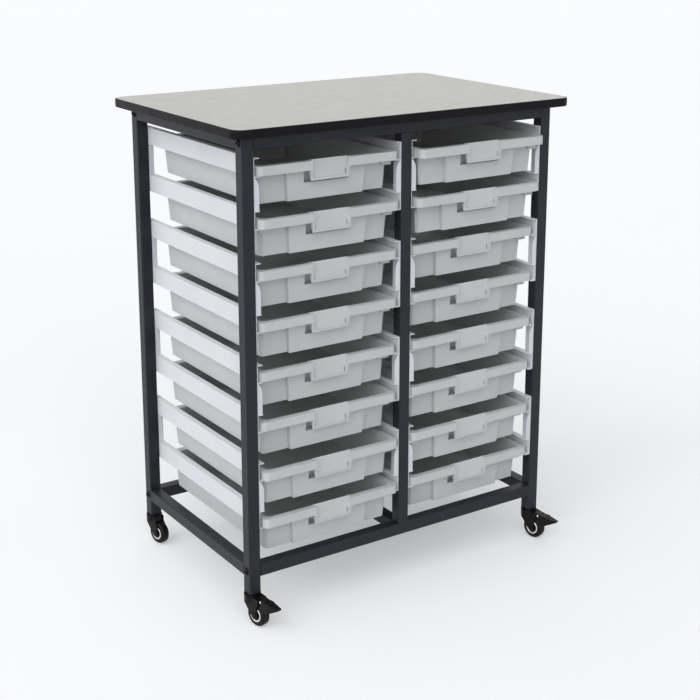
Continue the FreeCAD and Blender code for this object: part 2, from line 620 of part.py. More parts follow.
def make_tray(side, level):
    """A tray whose origin is in the middle of its rim's front face, at the rim's top."""
    sign = "-" if side == "left" else ""
    y = f"tray_home - runner_length / 2 - pull_{side}_{level}"
    runner_set, place = divmod(level - 1, 2)
    seat = f"castor_height + runner_top - {2 * runner_set + place} * tray_pitch - channel_height + runner_sheet"
    body = new_body(f"tray_{side}_{level}", sign + COLUMN_X, y, f"{seat} + tray_lift + rim_skirt")

    make_tray_shell(body)
    rim = round_corners(f"-{TRAY_HALF}", TRAY_HALF, "0", "tray_depth", "rim_corner")
    flange = new_sketch(body, "flange", "XY_Plane")
    draw_outline(flange, rim)
    mouth = f"({BODY_HALF} - tray_wall)"
    mouth_front = "(mouth_setback + tray_wall)"
    mouth_rear = f"({BODY_REAR} - tray_wall)"
    mouth_corner = "(body_corner - 0.6 * tray_wall)"
    draw_outline(flange, cut_corners(f"-{mouth}", mouth, mouth_front, mouth_rear, mouth_corner))
    add_pad(body, flange, "tray_wall", backward=True)
    skirt = new_sketch(body, "skirt", "XY_Plane")
    draw_outline(skirt, rim)
    inner = f"({TRAY_HALF} - tray_wall)"
    rear = "(tray_depth - tray_wall)"
    draw_outline(skirt, cut_corners(f"-{inner}", inner, "tray_wall", rear, "(rim_corner - 2 * tray_wall)"))
    add_pad(body, skirt, "rim_skirt", backward=True)

    walls = []
    for name, drop in (("top", "(rim_skirt - tray_wall)"), ("foot", "(finger_drop + tray_wall)")):
        wall = new_sketch(body, f"finger_housing_{name}", "XY_Plane", ("0", "0", f"-{drop}"))
        half = "(finger_width / 2 + tray_wall)"
        front = f"(panel_setback + {drop} * tan(body_draft * 1 deg) + tray_wall / 2)"
        draw_outline(wall, box_corners(f"-{half}", half, front, "finger_back + tray_wall"))
        walls.append(wall)
    add_loft(body, "AdditiveLoft", "finger_housing", *walls)
    recess = new_sketch(body, "finger_recess", "XY_Plane", ("0", "0", "-rim_skirt"))
    draw_outline(recess, box_corners("-finger_width / 2", "finger_width / 2", "tray_wall", "finger_back"))
    add_pocket(body, recess, "finger_drop - rim_skirt")

    top_half, foot_half = "(lip_width / 2)", "(lip_width / 2 - lip_taper)"
    foot_front = "(lip_lean - lip_proud)"
    lip_top = new_sketch(body, "lip_top", "XY_Plane", ("0", "0", "lip_rise"))
    draw_outline(lip_top, box_corners(f"-{top_half}", top_half, "-lip_proud", mouth_front))
    lip_foot = new_sketch(body, "lip_foot", "XY_Plane", ("0", "0", "-lip_drop"))
    draw_outline(lip_foot, box_corners(f"-{foot_half}", foot_half, foot_front, f"{foot_front} + lip_thickness"))
    add_loft(body, "AdditiveLoft", "lip", lip_top, lip_foot)

    pane_top = new_sketch(body, "window_top", "XY_Plane", ("0", "0", "lip_rise"))
    top_half, foot_half = f"({top_half} - lip_bar)", f"({foot_half} - lip_bar)"
    draw_outline(pane_top, box_corners(f"-{top_half}", top_half, "-2 * lip_proud", "mouth_setback"))
    pane_foot = new_sketch(body, "window_foot", "XY_Plane", ("0", "0", "lip_bar - lip_drop"))
    draw_outline(pane_foot, box_corners(f"-{foot_half}", foot_half, "-2 * lip_proud", f"{foot_front} + window_depth"))
    add_loft(body, "SubtractiveLoft", "window", pane_top, pane_foot)
    slots = new_sketch(body, "slots", "XZ_Plane")
    low = "(lip_bar - lip_drop + slot_width / 2)"
    for left in (f"-{foot_half}", f"{foot_half} - slot_width"):
        draw_outline(slots, box_corners(left, f"{left} + slot_width", low, f"{low} + slot_height"))
    add_pocket(body, slots, "2 * mouth_setback", both_ways=True)

    ledge = "(rim_skirt - tray_wall)"
    lugs = new_sketch(body, "corner_lugs", "XY_Plane", ("0", "0", f"-{ledge}"))
    front, rear = "wall_setback - lug_depth", "wall_setback + tray_wall"
    lug_outer = f"({TRAY_HALF} - lug_inset)"
    lug_inner = f"({lug_outer} - lug_width)"
    draw_outline(lugs, box_corners(f"-{lug_outer}", f"-{lug_inner}", front, rear))
    draw_outline(lugs, box_corners(lug_inner, lug_outer, front, rear))
    add_pad(body, lugs, f"lug_drop - {ledge}", backward=True)
    return body


# ---------------------------------------------------------------------------------------
# Castors, drawn with the swivel axis on Z, the leg end at height 0 and the wheel trailing
# towards -Y, then turned and placed under the legs
# ---------------------------------------------------------------------------------------
def castor_body(label, x, y):
    return new_body(label, x, y, "castor_height", turn="castor_turn")


def make_socket(label, x, y):
    """Plug and cap in a leg's end, with the king pin that the castor turns on."""
    body = new_body(label, x, y, "castor_height")
    half = f"({BORE_HALF} - plug_gap)"
    plug = new_sketch(body, "plug", "XY_Plane")
    draw_outline(plug, box_corners(f"-{half}", half, f"-{half}", half))
    add_pad(body, plug, "socket_length")
    cap = new_sketch(body, "cap", "XY_Plane")
    draw_outline(cap, round_corners("-tube / 2", "tube / 2", "-tube / 2", "tube / 2", "tube_corner"))
    add_pad(body, cap, "cap_thickness", backward=True)
    stem = new_sketch(body, "stem", "XZ_Plane")
    under = "(cap_thickness + head_gap + head_plate + head_gap)"
    draw_outline(
        stem,
        [
            ("0", "-cap_thickness / 2"), ("stem_radius", "-cap_thickness / 2"),
            ("stem_radius", f"-{under}"), ("stem_head_radius", f"-{under}"),
            ("stem_head_radius", f"-{under} - stem_head"), ("0", f"-{under} - stem_head"),
        ],
    )
    add_revolution(body, stem, "V_Axis")
    return body


def make_fork(label, x, y, braked):
    """Swivel head with two cheeks, and the axle riveted through them. The cheeks of a
    braked castor reach forward round the pedal's pivot pin."""
    fork = castor_body(f"{label}_frame", x, y)
    top = "(cap_thickness + head_gap)"
    bottom = f"({top} + head_height)"
    head = new_sketch(fork, "head", "XZ_Plane")
    bore = "stem_radius + running_gap"
    draw_outline(
        head,
        [
            (bore, f"-{top}"), ("head_radius", f"-{top}"), ("head_radius", f"-{bottom}"),
            ("head_radius - cheek_thickness", f"-{bottom}"),
            ("head_radius - cheek_thickness", f"-{top} - head_plate"), (bore, f"-{top} - head_plate"),
        ],
    )
    add_revolution(fork, head, "V_Axis")

    front = "(pedal_pivot_reach + 3 * pedal_pin_radius)" if braked else "head_radius"
    for side, shift, backward in (("left", f"-{CHEEK_IN}", True), ("right", CHEEK_IN, False)):
        cheek = new_sketch(fork, f"{side}_cheek", "YZ_Plane", ("0", "0", shift))
        draw_outline(
            cheek,
            [
                ("head_radius * 0.65", f"-{top} - head_plate / 2"),
                ("head_radius * 0.65", f"-{bottom} - 6"),
                ("0.8 * cheek_boss - castor_trail", f"-{AXLE_DROP} - 0.6 * cheek_boss", "cheek_boss", -1),
                ("-0.96 * cheek_boss - castor_trail", f"0.28 * cheek_boss - {AXLE_DROP}"),
                ("-0.7 * cheek_boss - castor_trail", f"-{bottom} - 10"),
                (f"-{front}", "-pedal_pivot_drop - 3 * pedal_pin_radius"),
                (f"-{front}", "-pedal_pivot_drop + 2.5 * pedal_pin_radius"),
                ("-head_radius * 0.5", f"-{top} - head_plate / 2"),
            ],
        )
        add_pad(fork, cheek, "cheek_thickness", backward=backward)
    bores = new_sketch(fork, "bores", "YZ_Plane")
    draw_circle(bores, "-castor_trail", f"-{AXLE_DROP}", "axle_radius + running_gap")
    if braked:
        draw_circle(bores, "-pedal_pivot_reach", "-pedal_pivot_drop", "pedal_pin_radius + running_gap")
    add_pocket(fork, bores, "4 * wheel_width", both_ways=True)

    axle = castor_body(f"{label}_axle", x, y)
    section = new_sketch(axle, "section", "XY_Plane", ("0", "-castor_trail", f"-{AXLE_DROP}"))
    end = f"({CHEEK_OUT} + axle_head)"
    draw_outline(
        section,
        [
            (f"-{end}", "0"), (end, "0"), (end, "axle_head_radius"), (CHEEK_OUT, "axle_head_radius"),
            (CHEEK_OUT, "axle_radius"), (f"-{CHEEK_OUT}", "axle_radius"),
            (f"-{CHEEK_OUT}", "axle_head_radius"), (f"-{end}", "axle_head_radius"),
        ],
    )
    add_revolution(axle, section, "H_Axis")
    return add_group(label, [fork, axle])


def make_wheel(label, x, y):
    """Dished hub that turns on the axle, with a bevelled tyre on it."""
    shift = ("0", "-castor_trail", f"-{AXLE_DROP}")
    rim = "(wheel_radius - tyre_thickness)"
    half = "(wheel_width / 2)"
    hub = castor_body(f"{label}_hub", x, y)
    section = new_sketch(hub, "section", "XY_Plane", shift)
    bore = "axle_radius + running_gap"
    flat = f"({half} - hub_dish)"
    draw_outline(
        section,
        [
            (f"-{half}", bore), (half, bore), (half, "hub_boss"), (flat, "hub_boss"),
            (flat, f"{rim} - hub_wall"), (half, f"{rim} - hub_wall"), (half, f"{rim} - tyre_gap"),
            (f"-{half}", f"{rim} - tyre_gap"), (f"-{half}", f"{rim} - hub_wall"),
            (f"-{flat}", f"{rim} - hub_wall"), (f"-{flat}", "hub_boss"), (f"-{half}", "hub_boss"),
        ],
    )
    add_revolution(hub, section, "H_Axis")
    tyre = castor_body(f"{label}_tyre", x, y)
    tread = new_sketch(tyre, "section", "XY_Plane", shift)
    draw_outline(
        tread,
        [
            (f"-{half}", rim), (half, rim), (half, "wheel_radius - tyre_bevel"),
            (f"{half} - tyre_bevel", "wheel_radius"), (f"tyre_bevel - {half}", "wheel_radius"),
            (f"-{half}", "wheel_radius - tyre_bevel"),
        ],
    )
    add_revolution(tyre, tread, "H_Axis")
    return add_group(label, [hub, tyre])


def make_pedal(label, x, y):
    """Brake pedal between the fork's cheeks: a wedge that reaches out over the wheel."""
    body = castor_body(label, x, y)
    wedge = new_sketch(body, "wedge", "YZ_Plane")
    shoe = "(wheel_radius + brake_gap)"
    low, high = "23 deg", "71 deg"
    back = "(head_radius + 0.8)"
    draw_outline(
        wedge,
        [
            (f"-{back}", "-pedal_pivot_drop + 3 * pedal_pin_radius"),
            ("-0.46 * pedal_reach", "-pedal_pivot_drop + 2.9 * pedal_pin_radius"),
            ("-0.48 * pedal_reach", "-pedal_pivot_drop + 2.4 * pedal_pin_radius"),
            ("-pedal_taper_start", "-pedal_pivot_drop + 2.25 * pedal_pin_radius"),
            ("-pedal_taper_start - 2", "-pedal_pivot_drop + 1.5 * pedal_pin_radius"),
            ("-pedal_reach", "-pedal_pivot_drop + 0.25 * pedal_pin_radius"),
            ("-pedal_reach", "-pedal_pivot_drop + 0.25 * pedal_pin_radius - pedal_tip"),
            (f"-castor_trail - {shoe} * cos({low}) - 3", f"{shoe} * sin({low}) - {AXLE_DROP}"),
            (f"-castor_trail - {shoe} * cos({low})", f"{shoe} * sin({low}) - {AXLE_DROP}", shoe, -1),
            (f"-castor_trail - {shoe} * cos({high})", f"{shoe} * sin({high}) - {AXLE_DROP}"),
            (f"-{back}", f"{shoe} * sin({high}) - {AXLE_DROP}"),
        ],
    )
    add_pad(body, wedge, "pedal_width", both_ways=True)
    sides = new_sketch(body, "tip_taper", "XY_Plane")
    for sign in ("-", ""):
        draw_outline(
            sides,
            [
                (f"{sign}pedal_width / 2", "-pedal_taper_start"),
                (f"{sign}pedal_tip_width / 2", "-pedal_reach"),
                (f"{sign}pedal_tip_width / 2", "-pedal_reach - 1"),
                (f"{sign}(pedal_width / 2 + 1)", "-pedal_reach - 1"),
                (f"{sign}(pedal_width / 2 + 1)", "-pedal_taper_start"),
            ],
        )
    add_pocket(body, sides, "2 * castor_height", both_ways=True)
    pin = new_sketch(body, "pin", "YZ_Plane")
    draw_circle(pin, "-pedal_pivot_reach", "-pedal_pivot_drop", "pedal_pin_radius")
    add_pad(body, pin, f"2 * {CHEEK_OUT}", both_ways=True)
    return body


def make_castors():
    sockets, moving = [], []
    for end, end_sign in (("front", "-"), ("rear", "")):
        for side, sign in (("left", "-"), ("right", "")):
            x, y = sign + LEG_X, end_sign + LEG_Y
            sockets.append(make_socket(f"castor_socket_{end}_{side}", x, y))
            moving.append(make_fork(f"castor_fork_{end}_{side}", x, y, braked=end == "front"))
            moving.append(make_wheel(f"castor_wheel_{end}_{side}", x, y))
            if end == "front":
                moving.append(make_pedal(f"brake_pedal_{side}", x, y))
    return [add_group("castor_sockets", sockets)] + moving


# ---------------------------------------------------------------------------------------
# Build, check and write every node
# ---------------------------------------------------------------------------------------
nodes = [make_table_top(), make_edge_band()]
nodes += make_frame()
nodes += make_fasteners()
nodes += make_runners()
nodes += [make_tray(side, level) for side in ("left", "right") for level in LEVELS]
nodes += make_castors()
doc.recompute()

for item in doc.Objects:
    if {"Invalid", "Error"} & set(item.State):
        raise RuntimeError(f"{item.Label} failed: {item.State}")
    if item.TypeId == "PartDesign::Pocket" and not item.Shape.Volume < item.BaseFeature.Shape.Volume - 1:
        raise RuntimeError(f"{item.Label} cuts nothing")
for node in nodes:
    if node.Shape.isNull() or not node.Shape.isValid():
        raise RuntimeError(f"{node.Label} has no valid shape")

os.makedirs("parts", exist_ok=True)
for node in nodes:
    node.Shape.exportStep(f"parts/{node.Label}.step")
print(f"{len(nodes)} nodes, {sum(len(node.Shape.Solids) for node in nodes)} solids")
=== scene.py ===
# %% [markdown]
# # A classroom tray storage unit, dressed in Blender
# A welded and bolted frame of square steel tube stands on four castors. It carries a laminated
# top and two columns of eight moulded trays, which slide on folded sheet-metal runners.
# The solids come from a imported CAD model. This lesson gives every one of them its real edges and
# its real finish. It works in metres, in the frame of the model: X to the right, Y to the rear.

# %% Load the solids
import json
import math
import bmesh
import bpy
from mathutils import Matrix, Vector


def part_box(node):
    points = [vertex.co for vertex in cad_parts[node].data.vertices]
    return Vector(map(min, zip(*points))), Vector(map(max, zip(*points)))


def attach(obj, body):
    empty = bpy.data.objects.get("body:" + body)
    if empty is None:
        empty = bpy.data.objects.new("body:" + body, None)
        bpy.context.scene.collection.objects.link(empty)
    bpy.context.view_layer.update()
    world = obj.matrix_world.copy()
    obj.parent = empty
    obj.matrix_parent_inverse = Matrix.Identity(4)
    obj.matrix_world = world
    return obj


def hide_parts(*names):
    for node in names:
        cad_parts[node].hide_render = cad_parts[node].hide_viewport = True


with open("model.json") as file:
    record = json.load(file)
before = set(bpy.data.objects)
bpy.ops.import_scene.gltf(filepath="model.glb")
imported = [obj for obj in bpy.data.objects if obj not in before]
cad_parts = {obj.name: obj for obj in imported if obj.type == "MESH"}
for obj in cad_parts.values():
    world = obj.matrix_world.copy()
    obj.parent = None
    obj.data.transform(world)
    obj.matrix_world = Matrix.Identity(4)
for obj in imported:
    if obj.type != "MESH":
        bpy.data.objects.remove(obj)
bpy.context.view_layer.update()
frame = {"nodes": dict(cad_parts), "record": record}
record = frame["record"]
BODY_OF = {node: body for body, nodes in record["behaviour"]["bodies"].items() for node in nodes}
SLOT_OF = {part["node"]: part["material_slot"] for part in record["subparts"]}
MM = 0.001
SIDES = ("left", "right")
CORNERS = [f"{end}_{side}" for end in ("front", "rear") for side in SIDES]

# %% [markdown]
# ## Finishes
# Each finish starts from one Principled shader. A colour is written as the eye reads it on a
# screen, from 0 to 255, and turned into the linear light that the shader works with.
# Noise in Object coordinates then adds what paint and plastic have: a little mottle in the
# colour, uneven polish, and a fine grain. Object coordinates are used because they stay fixed to
# the piece, and because a tray and a tube then get grain of the same real size.

# %% Helpers for finishes
CLOUD_RANGE = {"From_Min": 0.35, "From_Max": 0.65}
POLISH_RANGE = {"From_Min": 0.3, "From_Max": 0.7}
MIX_FACTOR, MIX_FIRST_COLOUR, MIX_SECOND_COLOUR = 0, 6, 7
MIX_COLOUR_OUT = 2


def screen(red, green, blue):
    """A screen colour, 0 to 255, as linear light, by the curve of the sRGB standard."""
    return tuple(
        part / 12.92 if part <= 0.04045 else ((part + 0.055) / 1.055) ** 2.4
        for part in (red / 255, green / 255, blue / 255)
    )


def principled(finish):
    return finish.node_tree.nodes["Principled BSDF"]


def start_finish(name, colour, roughness, metallic=0.0, specular=0.5):
    finish = bpy.data.materials.new(name)
    finish.use_nodes = True
    shader = principled(finish)
    shader.inputs["Base Color"].default_value = (*colour, 1)
    shader.inputs["Roughness"].default_value = roughness
    shader.inputs["Metallic"].default_value = metallic
    shader.inputs["Specular IOR Level"].default_value = specular
    finish.diffuse_color = (*colour, 1)
    return finish


def add_node(finish, kind, settings=None, **sockets):
    """A shader node with its settings and the values of its sockets."""
    node = finish.node_tree.nodes.new(kind)
    for name, value in (settings or {}).items():
        setattr(node, name, value)
    for name, value in sockets.items():
        node.inputs[name.replace("_", " ")].default_value = value
    return node


def join(finish, source, target):
    finish.node_tree.links.new(source, target)


def noise(finish, size, detail=2.0, stretch=(1, 1, 1)):
    """Noise whose features are about this size in metres, longer along a stretched axis."""
    place = add_node(finish, "ShaderNodeTexCoord")
    mapping = add_node(finish, "ShaderNodeMapping", Scale=[1 / (size * part) for part in stretch])
    clouds = add_node(finish, "ShaderNodeTexNoise", Scale=1.0, Detail=detail, Roughness=0.55)
    join(finish, place.outputs["Object"], mapping.inputs["Vector"])
    join(finish, mapping.outputs["Vector"], clouds.inputs["Vector"])
    return clouds.outputs["Fac"]


def add_mottle(finish, size, other):
    """Drifts the colour to another one in soft clouds. A Mix node has sockets for every kind of
    data, so its colour sockets are picked by number."""
    shader = principled(finish)
    reach = add_node(finish, "ShaderNodeMapRange", **CLOUD_RANGE)
    mix = add_node(finish, "ShaderNodeMix", {"data_type": "RGBA"})
    mix.inputs[MIX_FIRST_COLOUR].default_value = shader.inputs["Base Color"].default_value[:]
    mix.inputs[MIX_SECOND_COLOUR].default_value = (*other, 1)
    join(finish, noise(finish, size, 3), reach.inputs["Value"])
    join(finish, reach.outputs["Result"], mix.inputs[MIX_FACTOR])
    join(finish, mix.outputs[MIX_COLOUR_OUT], shader.inputs["Base Color"])


def add_polish(finish, size, low, high):
    """Uneven polish: the roughness wanders between two values."""
    shader = principled(finish)
    reach = add_node(finish, "ShaderNodeMapRange", To_Min=low, To_Max=high, **POLISH_RANGE)
    join(finish, noise(finish, size, 3), reach.inputs["Value"])
    join(finish, reach.outputs["Result"], shader.inputs["Roughness"])


def add_grain(finish, size, height, stretch=(1, 1, 1)):
    """Fine relief of a given height in metres, laid over any relief that is there already."""
    shader = principled(finish)
    bump = add_node(finish, "ShaderNodeBump", Strength=1.0, Distance=height)
    join(finish, noise(finish, size, stretch=stretch), bump.inputs["Height"])
    earlier = [link.from_socket for link in shader.inputs["Normal"].links]
    if earlier:
        join(finish, earlier[0], bump.inputs["Normal"])
    join(finish, bump.outputs["Normal"], shader.inputs["Normal"])

# %% [markdown]
# ## Painted steel
# The tubes have a charcoal powder coat. Powder melts into a skin with the faint pebble of orange
# peel, two or three millimetres from hill to hill, and a finer sparkle on top. The runners have a
# smoother, light grey coat. Both could be done with one flat colour, but paint without relief
# gives edges and reflections that look like a drawing.

# %% Paint for the frame and the runners
def charcoal_powder_coat():
    finish = start_finish("charcoal powder coat", screen(32, 34, 42), 0.46, specular=0.25)
    add_mottle(finish, 60 * MM, screen(36, 38, 46))
    add_polish(finish, 8 * MM, 0.4, 0.52)
    add_grain(finish, 2.4 * MM, 0.05 * MM)
    add_grain(finish, 0.5 * MM, 0.02 * MM)
    return finish


def light_powder_coat():
    finish = start_finish("light grey powder coat", screen(222, 223, 229), 0.42, specular=0.4)
    add_mottle(finish, 90 * MM, screen(216, 218, 225))
    add_polish(finish, 12 * MM, 0.36, 0.48)
    add_grain(finish, 2.0 * MM, 0.02 * MM)
    return finish


FRAME_PAINT = charcoal_powder_coat()
RUNNER_PAINT = light_powder_coat()
print("paints:", FRAME_PAINT.name, "and", RUNNER_PAINT.name)

# %% [markdown]
# ## Laminate and edge band
# High-pressure laminate is a hard printed sheet with a very shallow pearl texture. Its print here
# is a warm pale grey with a fine fleck that only shows up close. The band round it is a flexible
# black plastic moulding, pushed into a slot in the board's edge. Its skin is satin, with long faint
# lines along it from the extruder.

# %% Laminate and band
def warm_grey_laminate():
    finish = start_finish("warm grey laminate", screen(187, 186, 181), 0.4, specular=0.4)
    add_mottle(finish, 1.6 * MM, screen(181, 180, 174))
    add_polish(finish, 25 * MM, 0.34, 0.46)
    add_grain(finish, 1.2 * MM, 0.012 * MM)
    return finish


def black_band_plastic():
    finish = start_finish("black band plastic", screen(11, 11, 14), 0.44, specular=0.12)
    add_mottle(finish, 40 * MM, screen(14, 14, 17))
    add_polish(finish, 15 * MM, 0.38, 0.5)
    add_grain(finish, 1.0 * MM, 0.02 * MM, (18, 18, 1))
    return finish


LAMINATE = warm_grey_laminate()
BAND_PLASTIC = black_band_plastic()
print("top:", LAMINATE.name, "with", BAND_PLASTIC.name)

# %% [markdown]
# ## Moulded plastics
# The trays are moulded from a light grey polypropylene. Spark-eroded moulds leave a fine matt
# grain, and the plastic is never quite even in gloss. The castors, their sockets and the pedals
# are a harder black nylon with a coarser grain, and the treads are a dull black.

# %% Plastics
def tray_plastic():
    finish = start_finish("light grey tray plastic", screen(201, 204, 205), 0.45, specular=0.3)
    add_mottle(finish, 70 * MM, screen(197, 200, 200))
    add_polish(finish, 10 * MM, 0.4, 0.52)
    add_grain(finish, 0.7 * MM, 0.03 * MM)
    return finish


def black_nylon(name, colour, low, high):
    finish = start_finish(name, colour, low, specular=0.16)
    add_mottle(finish, 12 * MM, tuple(1.3 * part for part in colour))
    add_polish(finish, 6 * MM, low, high)
    add_grain(finish, 0.8 * MM, 0.04 * MM)
    return finish


TRAY_PLASTIC = tray_plastic()
CASTOR_PLASTIC = black_nylon("black castor nylon", screen(10, 10, 11), 0.24, 0.36)
PLUG_PLASTIC = black_nylon("black plug nylon", screen(16, 16, 17), 0.42, 0.55)
PEDAL_PLASTIC = black_nylon("black pedal nylon", screen(13, 13, 15), 0.3, 0.44)
TREAD = black_nylon("black tread", screen(12, 12, 13), 0.4, 0.54)
print("plastics:", TRAY_PLASTIC.name, "and", CASTOR_PLASTIC.name)

# %% [markdown]
# ## Bare metal
# Three small metals: black-oxide steel for the frame's button bolts, zinc plate for the screws
# under the top, and bright plated steel for the castors' rivets and wheel rings. Metal takes its
# look from what it mirrors, so the work goes into uneven polish and fine turning marks.

# %% Metals
def plated_metal(name, colour, low, high):
    finish = start_finish(name, colour, low, metallic=1.0)
    add_mottle(finish, 5 * MM, tuple(0.9 * part for part in colour))
    add_polish(finish, 2 * MM, low, high)
    add_grain(finish, 0.4 * MM, 0.008 * MM)
    return finish


BLACK_STEEL = plated_metal("black oxide steel", screen(30, 30, 33), 0.16, 0.28)
ZINC_STEEL = plated_metal("zinc plated steel", screen(196, 198, 200), 0.26, 0.4)
BRIGHT_STEEL = plated_metal("bright plated steel", screen(226, 227, 228), 0.14, 0.26)
FINISH_OF = {
    "top_laminate": LAMINATE,
    "edge_band": BAND_PLASTIC,
    "frame_paint": FRAME_PAINT,
    "black_steel": BLACK_STEEL,
    "zinc_steel": ZINC_STEEL,
    "plug_plastic": PLUG_PLASTIC,
    "runner_paint": RUNNER_PAINT,
    "tray_plastic": TRAY_PLASTIC,
    "castor_plastic": CASTOR_PLASTIC,
    "wheel_tread": TREAD,
    "pedal_plastic": PEDAL_PLASTIC,
}
for node, solid in frame["nodes"].items():
    solid.data.materials.clear()
    solid.data.materials.append(FINISH_OF[SLOT_OF[node]])
print(len(FINISH_OF), "finishes on the solids")

# %% [markdown]
# ## Dressing a solid
# A CAD solid arrives as loose triangles with knife edges. Real tube, sheet and mouldings have a
# small radius on every edge, and that radius is what catches the light. A copy of the solid is
# merged, its flat faces are made whole again, and a Bevel modifier rounds what is left. The
# Weighted Normal modifier keeps the large faces flat in the shading, so only the edges curve.
# This is quicker and truer to size than modelling the same piece twice.

# %% Helpers for dressed pieces
SAME_POINT = 0.002 * MM
FLAT_ANGLE = math.radians(0.3)
BEVEL_ANGLE = math.radians(31)
SMOOTH_ANGLE = math.radians(35)


def merged_copy(node):
    """The solid's mesh with its doubled points merged and its flat faces whole."""
    shape = bmesh.new()
    shape.from_mesh(frame["nodes"][node].data)
    bmesh.ops.remove_doubles(shape, verts=shape.verts[:], dist=SAME_POINT)
    bmesh.ops.dissolve_limit(
        shape, angle_limit=FLAT_ANGLE, verts=shape.verts[:], edges=shape.edges[:]
    )
    return shape


def new_piece(name, shape, finish, body, slot, *replaced):
    """Turns a bmesh into a finished piece that rides on a body."""
    mesh = bpy.data.meshes.new(name)
    shape.to_mesh(mesh)
    shape.free()
    mesh.shade_smooth()
    mesh.materials.clear()
    mesh.materials.append(finish)
    piece = bpy.data.objects.new(name, mesh)
    bpy.context.scene.collection.objects.link(piece)
    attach(piece, body)
    if replaced:
        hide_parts(*replaced)
    return piece


def soften(piece, radius, rounds=2):
    """Rounds the piece's edges and keeps its flat faces flat."""
    bevel = piece.modifiers.new("rounded edges", "BEVEL")
    bevel.width = radius
    bevel.segments = rounds
    bevel.limit_method = "ANGLE"
    bevel.angle_limit = BEVEL_ANGLE
    bevel.use_clamp_overlap = True
    weigh_normals(piece)


def weigh_normals(piece):
    normals = piece.modifiers.new("flat faces", "WEIGHTED_NORMAL")
    normals.keep_sharp = True


def stand_in(node, shape):
    """A piece that stands for its node, on the same body and with the finish of the node's slot."""
    slot = SLOT_OF[node]
    return new_piece(f"{node}_dressed", shape, FINISH_OF[slot], BODY_OF[node], slot, node)


def dress(node, radius, rounds=2):
    """A softened copy that stands for its node."""
    piece = stand_in(node, merged_copy(node))
    soften(piece, radius, rounds)
    return piece

# %% [markdown]
# ## Frame tubes
# Legs, uprights and rails are 25 mm square tube. The solids already have the tube's corner
# radius in a few facets, so these pieces need no bevel there: smooth shading with an angle limit
# rounds them, and the cut ends stay sharp.

# %% Tubes
def dress_tube(node):
    piece = stand_in(node, merged_copy(node))
    piece.data.set_sharp_from_angle(angle=SMOOTH_ANGLE)
    weigh_normals(piece)


TUBES = [
    node for node in frame["nodes"]
    if node.startswith(("leg_", "upright_")) or "_rail_" in node
]
for tube in TUBES:
    dress_tube(tube)
print(len(TUBES), "tubes")

# %% [markdown]
# ## Table top and edge band
# The board's laminate stops at the band with a crisp edge. The band itself is a crowned moulding:
# flat in the middle and rolled over at the top and bottom. It is swept in code, because its
# section follows a simple formula: a superellipse, carried round the board's rounded corners.

# %% Top and band
TOP_CORNER = 25 * MM
LAMINATE_EDGE = 0.3 * MM
BAND_CROWN = 0.42
BAND_STEPS = 14
BAND_SMOOTH_ANGLE = math.radians(50)
CORNER_STEPS = 12


def rounded_outline(low, high, radius):
    """Points and outward directions round a rectangle with rounded corners, seen from above."""
    places = []
    middles = (
        (high.x - radius, high.y - radius),
        (low.x + radius, high.y - radius),
        (low.x + radius, low.y + radius),
        (high.x - radius, low.y + radius),
    )
    for quarter, (x, y) in enumerate(middles):
        for step in range(CORNER_STEPS + 1):
            turn = math.pi / 2 * (quarter + step / CORNER_STEPS)
            out = Vector((math.cos(turn), math.sin(turn), 0))
            places.append((Vector((x, y, 0)) + radius * out, out))
    return places


def crowned_section(width, height):
    """Half of a superellipse, from the bottom to the top, as distances out and up."""
    section = []
    for step in range(BAND_STEPS + 1):
        turn = math.pi * (step / BAND_STEPS - 0.5)
        out = width * abs(math.cos(turn)) ** BAND_CROWN
        up = height / 2 * math.copysign(abs(math.sin(turn)) ** BAND_CROWN, turn)
        section.append((out, up))
    return section


def neighbours(count):
    """Each place in a ring with the next one. The last comes back to the first."""
    return zip(range(count), [*range(1, count), 0])


def bridge(shape, rings):
    """Faces from each ring of points to the next one, and from the last to the first."""
    for ring, after in zip(rings, rings[1:] + rings[:1]):
        for a, b in neighbours(len(ring)):
            shape.faces.new((ring[a], after[a], after[b], ring[b]))


def sweep(outline, section, middle_height):
    """A closed band: the section carried round the outline."""
    shape = bmesh.new()
    rings = [
        [
            shape.verts.new(place + out * reach + Vector((0, 0, middle_height + up)))
            for reach, up in section
        ]
        for place, out in outline
    ]
    bridge(shape, rings)
    bmesh.ops.recalc_face_normals(shape, faces=shape.faces[:])
    return shape


panel_low, panel_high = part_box("table_top")
band_low, band_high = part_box("table_edge_band")
BAND_WIDTH = panel_low.x - band_low.x
outline = rounded_outline(panel_low, panel_high, TOP_CORNER - BAND_WIDTH)
section = crowned_section(BAND_WIDTH, band_high.z - band_low.z)
band = sweep(outline, section, (band_low.z + band_high.z) / 2)
edge_band = new_piece(
    "edge_band_crowned", band, BAND_PLASTIC, "frame", "edge_band", "table_edge_band"
)
edge_band.data.set_sharp_from_angle(angle=BAND_SMOOTH_ANGLE)
dress("table_top", LAMINATE_EDGE)
print("band", round(BAND_WIDTH / MM, 1), "mm wide,", len(edge_band.data.polygons), "faces")

# %% [markdown]
# ## Runners
# Each runner is folded from 1.5 mm sheet. A folded edge has a radius of about the sheet's
# thickness, and a cut edge is nearly sharp, so a bevel of a third of a millimetre suits both.
# Behind, the bracket has a tab that folds in beside the rear tube, from one channel to the next.
# It is a small plate with one cut corner, built from its outline in the bracket's own mesh. The
# tab folds away from the tube that its bracket lies against, so each plane of webs has a sign.

